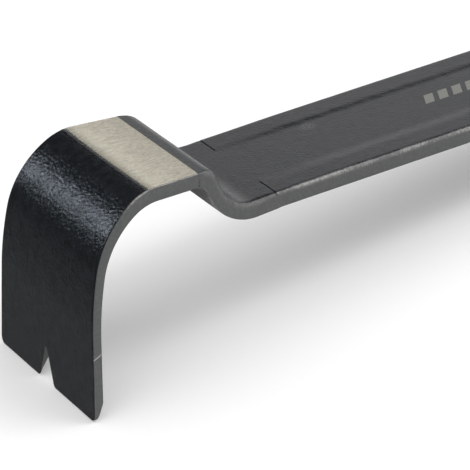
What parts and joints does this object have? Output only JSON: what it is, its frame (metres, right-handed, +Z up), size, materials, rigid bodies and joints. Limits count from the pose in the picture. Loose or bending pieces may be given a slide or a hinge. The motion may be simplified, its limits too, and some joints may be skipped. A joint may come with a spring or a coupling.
{
  "type": "pry bar",
  "caption": "Flat forged pry bar: hooked claw, ground striking face on a raised crown, gooseneck, ribbed shank, keyhole nail puller and flat claw, coated black.",
  "frame": {"origin": "middle of the bar's bounding box, on the surface that the bar rests on", "axes": "+Z up with the bar resting on its hooked claw and its flat blade, +X from the hook to the flat end, +Y to the left"},
  "size_m": [0.38, 0.0598, 0.0557],
  "materials": {
    "black_coating": "satin black coating over forged steel, with a fine orange peel",
    "ground_steel": "bare steel, ground along the bar"
  },
  "bodies": {
    "root": {"left_claw": "black_coating", "right_claw": "black_coating", "claw_blade": "black_coating", "hook_bend": "black_coating", "striking_face": "ground_steel", "gooseneck": "black_coating", "shank": "black_coating", "nail_hole_section": "black_coating", "foot_bend": "black_coating", "flat_blade": "black_coating", "left_tine": "black_coating", "right_tine": "black_coating"}
  },
  "joints": []
}
